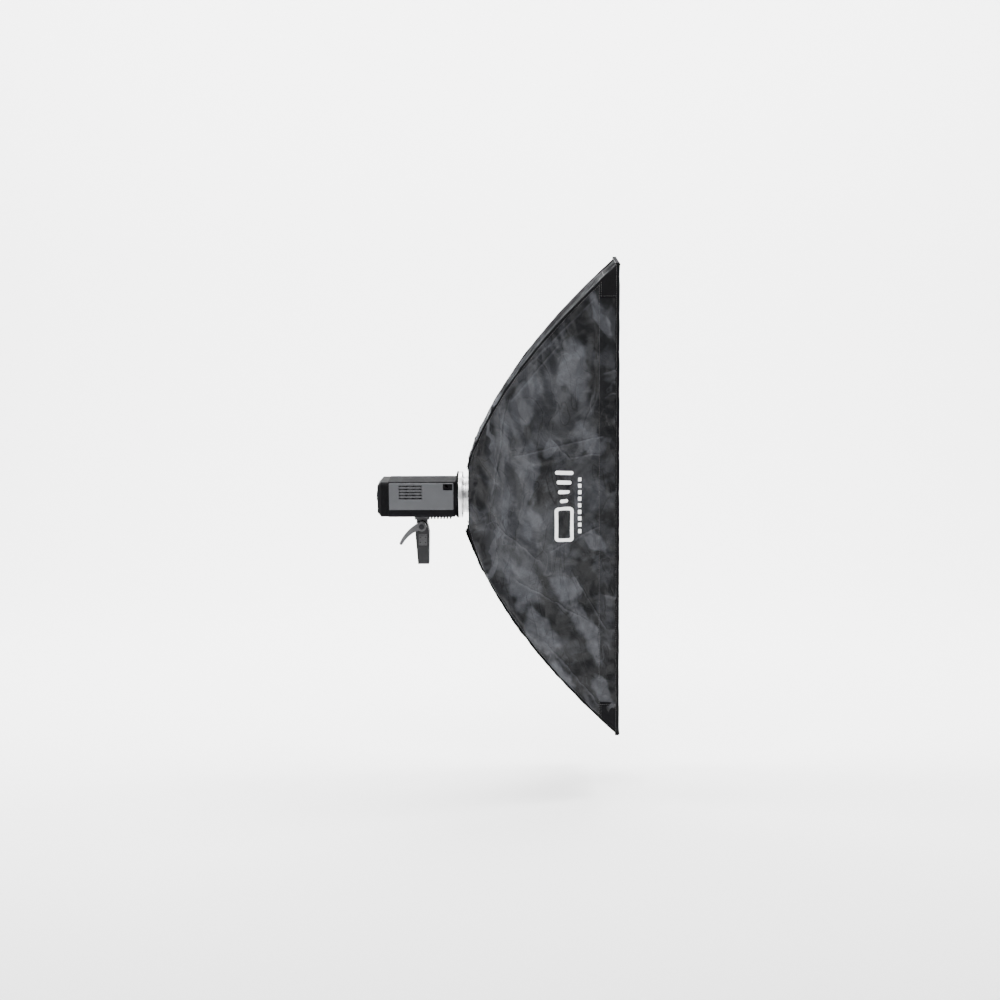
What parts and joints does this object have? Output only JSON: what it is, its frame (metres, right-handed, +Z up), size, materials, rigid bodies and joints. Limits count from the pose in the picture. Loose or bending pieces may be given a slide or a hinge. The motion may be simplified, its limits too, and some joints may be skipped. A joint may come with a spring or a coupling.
{
  "type": "strip softbox",
  "caption": "Tall narrow light softener of black cloth on bent rods, locked by a bayonet to a battery flash head on a tilting stand bracket.",
  "frame": {"origin": "centre of the stand socket's mouth, on the bracket's bottom face", "axes": "+Z up along the stand, +X the way the softbox faces, +Y to the far side of the head"},
  "size_m": [0.6229, 0.309, 1.2186],
  "materials": {
    "softbox_cloth": "satin",
    "silver_cloth": "satin",
    "white_cloth": "matte",
    "webbing": "matte",
    "elastic": "matte",
    "rod_steel": "satin",
    "cast_aluminium": "satin",
    "black_aluminium": "satin",
    "black_plastic": "matte",
    "grey_plate": "satin",
    "grey_plastic": "matte",
    "rubber": "matte",
    "button_red": "satin",
    "display": "gloss",
    "glass": "gloss",
    "ceramic": "matte",
    "steel": "satin",
    "brass": "satin",
    "circuit": "satin",
    "cell_wrap": "satin"
  },
  "bodies": {
    "bracket": {"bracket_fork": "black_plastic", "spigot_liner": "steel", "fork_plate": "grey_plastic", "bracket_screws": "steel", "tilt_bolt": "steel", "tilt_nut": "steel"},
    "lever": {"tilt_lever": "grey_plastic"},
    "stand_knob": {"stand_knob": "black_plastic"},
    "clamp_shoe": {"clamp_shoe": "brass"},
    "flash_head": {"tilt_tongue": "black_plastic", "lower_housing": "black_plastic", "upper_housing": "black_plastic", "far_side_plate": "grey_plate", "underside_grille": "black_plastic", "front_collar": "black_plastic", "mount_ring": "cast_aluminium", "rear_bezel": "black_plastic", "rear_panel": "grey_plastic", "display_window": "display", "tube_socket": "ceramic", "glass_dome": "glass", "flash_tube": "glass", "modelling_lamp": "glass", "capacitors": "black_aluminium", "main_board": "circuit", "fan_frame": "black_plastic"},
    "fan": {"fan_rotor": "black_plastic"},
    "dial": {"control_dial": "black_aluminium"},
    "mode_button": {"button_mode": "rubber"},
    "group_button": {"button_group": "rubber"},
    "lamp_button": {"button_lamp": "rubber"},
    "test_button": {"button_test": "button_red"},
    "power_switch": {"power_rocker": "black_plastic"},
    "battery": {"battery_case": "black_plastic", "battery_plate": "grey_plate", "battery_cells": "cell_wrap"},
    "battery_latch": {"battery_latch": "black_plastic"},
    "mount_latch": {"mount_latch": "grey_plastic"},
    "adapter": {"bayonet_adapter": "cast_aluminium", "retaining_clip": "steel"},
    "softbox": {"side_panel_near": "softbox_cloth", "side_panel_far": "softbox_cloth", "end_panel_top": "softbox_cloth", "end_panel_bottom": "softbox_cloth", "silver_lining": "silver_cloth", "rear_collar": "softbox_cloth", "front_binding": "webbing", "corner_pockets": "webbing", "hook_tape": "webbing", "front_diffuser": "white_cloth", "inner_baffle": "white_cloth", "baffle_straps": "elastic", "rods": "rod_steel", "rod_tips": "black_plastic", "socket_sleeves": "steel", "rod_ring": "cast_aluminium"},
    "top_flap": {"rear_flap_top": "softbox_cloth"},
    "bottom_flap": {"rear_flap_bottom": "softbox_cloth"},
    "top_lock_knob": {"lock_knob_top": "black_aluminium"},
    "bottom_lock_knob": {"lock_knob_bottom": "black_aluminium"}
  },
  "joints": [
    {"name": "head_tilt", "type": "hinge", "parent": "bracket", "child": "flash_head", "pos_m": [-0.003, 0, 0.101], "axis": [0, 1, 0], "range_deg": [-55, 30]},
    {"name": "tilt_lever_turn", "type": "hinge", "parent": "bracket", "child": "lever", "pos_m": [-0.003, -0.027, 0.101], "axis": [0, 1, 0], "range_deg": [-50, 0]},
    {"name": "stand_knob_turn", "type": "hinge", "parent": "bracket", "child": "stand_knob", "pos_m": [0, 0.03, 0.024], "axis": [0, 1, 0], "range_deg": [0, 270]},
    {"name": "clamp_shoe_press", "type": "slide", "parent": "bracket", "child": "clamp_shoe", "axis": [0, -1, 0], "range_m": [0, 0.0012]},
    {"name": "fan_spin", "type": "hinge", "parent": "flash_head", "child": "fan", "pos_m": [-0.02, 0.05, 0.176], "axis": [0, 1, 0], "continuous": true},
    {"name": "dial_turn", "type": "hinge", "parent": "flash_head", "child": "dial", "pos_m": [-0.118, -0.026, 0.182], "axis": [1, 0, 0], "continuous": true},
    {"name": "mode_press", "type": "slide", "parent": "flash_head", "child": "mode_button", "axis": [1, 0, 0], "range_m": [0, 0.0012], "stiffness_N_per_m": 400},
    {"name": "group_press", "type": "slide", "parent": "flash_head", "child": "group_button", "axis": [1, 0, 0], "range_m": [0, 0.0012], "stiffness_N_per_m": 400},
    {"name": "lamp_press", "type": "slide", "parent": "flash_head", "child": "lamp_button", "axis": [1, 0, 0], "range_m": [0, 0.0012], "stiffness_N_per_m": 400},
    {"name": "test_press", "type": "slide", "parent": "flash_head", "child": "test_button", "axis": [1, 0, 0], "range_m": [0, 0.0012], "stiffness_N_per_m": 400},
    {"name": "power_rock", "type": "hinge", "parent": "flash_head", "child": "power_switch", "pos_m": [-0.1078, -0.033, 0.1525], "axis": [0, 1, 0], "range_deg": [-8, 8]},
    {"name": "battery_slide", "type": "slide", "parent": "flash_head", "child": "battery", "axis": [0, -1, 0], "range_m": [0, 0.06]},
    {"name": "battery_latch_press", "type": "slide", "parent": "battery", "child": "battery_latch", "axis": [0, 0, -1], "range_m": [0, 0.0022], "stiffness_N_per_m": 500},
    {"name": "mount_latch_slide", "type": "slide", "parent": "flash_head", "child": "mount_latch", "axis": [0, 0, 1], "range_m": [0, 0.004], "stiffness_N_per_m": 500},
    {"name": "bayonet_twist", "type": "hinge", "parent": "flash_head", "child": "adapter", "pos_m": [0.1, 0, 0.181], "axis": [1, 0, 0], "range_deg": [0, 22]},
    {"name": "softbox_turn", "type": "hinge", "parent": "adapter", "child": "softbox", "pos_m": [0.13, 0, 0.181], "axis": [1, 0, 0], "continuous": true},
    {"name": "top_flap_fold", "type": "hinge", "parent": "softbox", "child": "top_flap", "pos_m": [0.18, 0, 0.40535], "axis": [0, 1, 0], "range_deg": [0, 72]},
    {"name": "bottom_flap_fold", "type": "hinge", "parent": "softbox", "child": "bottom_flap", "pos_m": [0.18, 0, -0.04335], "axis": [0, -1, 0], "range_deg": [0, 72]},
    {"name": "top_lock_turn", "type": "hinge", "parent": "softbox", "child": "top_lock_knob", "pos_m": [0.13325, 0, 0.261], "axis": [0, 0, 1], "range_deg": [0, 720]},
    {"name": "bottom_lock_turn", "type": "hinge", "parent": "softbox", "child": "bottom_lock_knob", "pos_m": [0.13325, 0, 0.101], "axis": [0, 0, -1], "range_deg": [0, 720]}
  ],
  "couplings": [
    {"joint": "clamp_shoe_press", "follows": "stand_knob_turn", "m_per_rad": 0.00023343}
  ]
}
